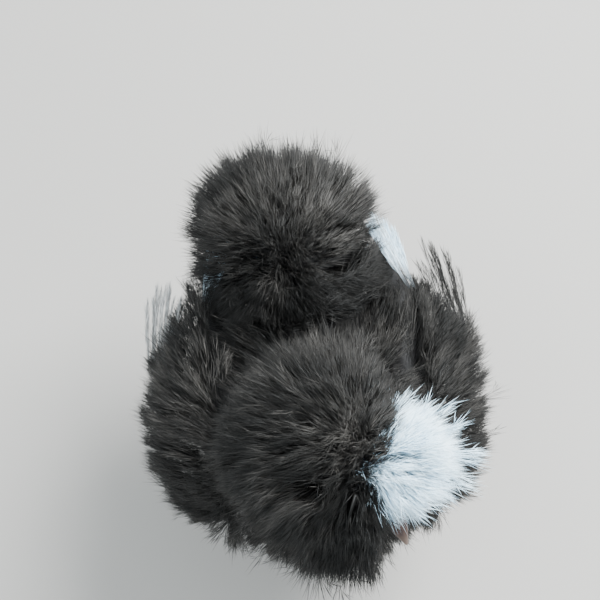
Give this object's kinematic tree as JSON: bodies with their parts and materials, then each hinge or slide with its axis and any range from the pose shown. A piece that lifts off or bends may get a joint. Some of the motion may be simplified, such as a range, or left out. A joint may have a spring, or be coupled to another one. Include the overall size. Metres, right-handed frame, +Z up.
{
  "type": "silkie chicken",
  "caption": "Life-size still model of a crested, bearded bantam hen with fluffy hair-like plumage, standing with its head turned, to set on a floor or shelf.",
  "frame": {"origin": "on the floor, at the middle of the bounding box's bottom face", "axes": "+Z up and the longest side, -Y the way the bird faces, +X towards the bird's left and the shortest side"},
  "size_m": [0.1822, 0.2378, 0.2553],
  "materials": {
    "black_plumage": "soft hair-like plumage, charcoal black with brown-grey bases",
    "white_plumage": "soft hair-like plumage, white",
    "grey_plumage": "ragged flight feathers, ash grey",
    "face_skin": "bare finely wrinkled skin, mulberry black",
    "earlobe_skin": "smooth bare skin, turquoise",
    "comb_skin": "granular bare skin, dark mulberry",
    "leg_skin": "scaly skin, slate grey",
    "beak_horn": "worn horn, brown with a pale tip",
    "claw_horn": "horn, pale grey",
    "eye": "wet, glossy, near black"
  },
  "bodies": {
    "root": {"crest": "black_plumage", "beard": "black_plumage", "neck": "black_plumage", "trunk": "black_plumage", "saddle": "black_plumage", "tail": "black_plumage", "wing_left": "black_plumage", "wing_right": "black_plumage", "thigh_left": "black_plumage", "thigh_right": "black_plumage", "shank_feathers_left": "black_plumage", "shank_feathers_right": "black_plumage", "toe_feathers_left": "black_plumage", "toe_feathers_right": "black_plumage", "flight_left": "black_plumage", "primaries_left": "white_plumage", "primaries_right": "white_plumage", "flight_right": "grey_plumage", "head": "face_skin", "earlobe_left": "earlobe_skin", "earlobe_right": "earlobe_skin", "comb": "comb_skin", "shank_left": "leg_skin", "shank_right": "leg_skin", "toe_hind_left": "leg_skin", "toe_inner_left": "leg_skin", "toe_middle_left": "leg_skin", "toe_outer_left": "leg_skin", "toe_fifth_left": "leg_skin", "toe_hind_right": "leg_skin", "toe_inner_right": "leg_skin", "toe_middle_right": "leg_skin", "toe_outer_right": "leg_skin", "toe_fifth_right": "leg_skin", "beak_upper": "beak_horn", "beak_lower": "beak_horn", "claw_hind_left": "claw_horn", "claw_inner_left": "claw_horn", "claw_middle_left": "claw_horn", "claw_outer_left": "claw_horn", "claw_fifth_left": "claw_horn", "claw_hind_right": "claw_horn", "claw_inner_right": "claw_horn", "claw_middle_right": "claw_horn", "claw_outer_right": "claw_horn", "claw_fifth_right": "claw_horn", "eye_left": "eye", "eye_right": "eye"}
  },
  "joints": []
}
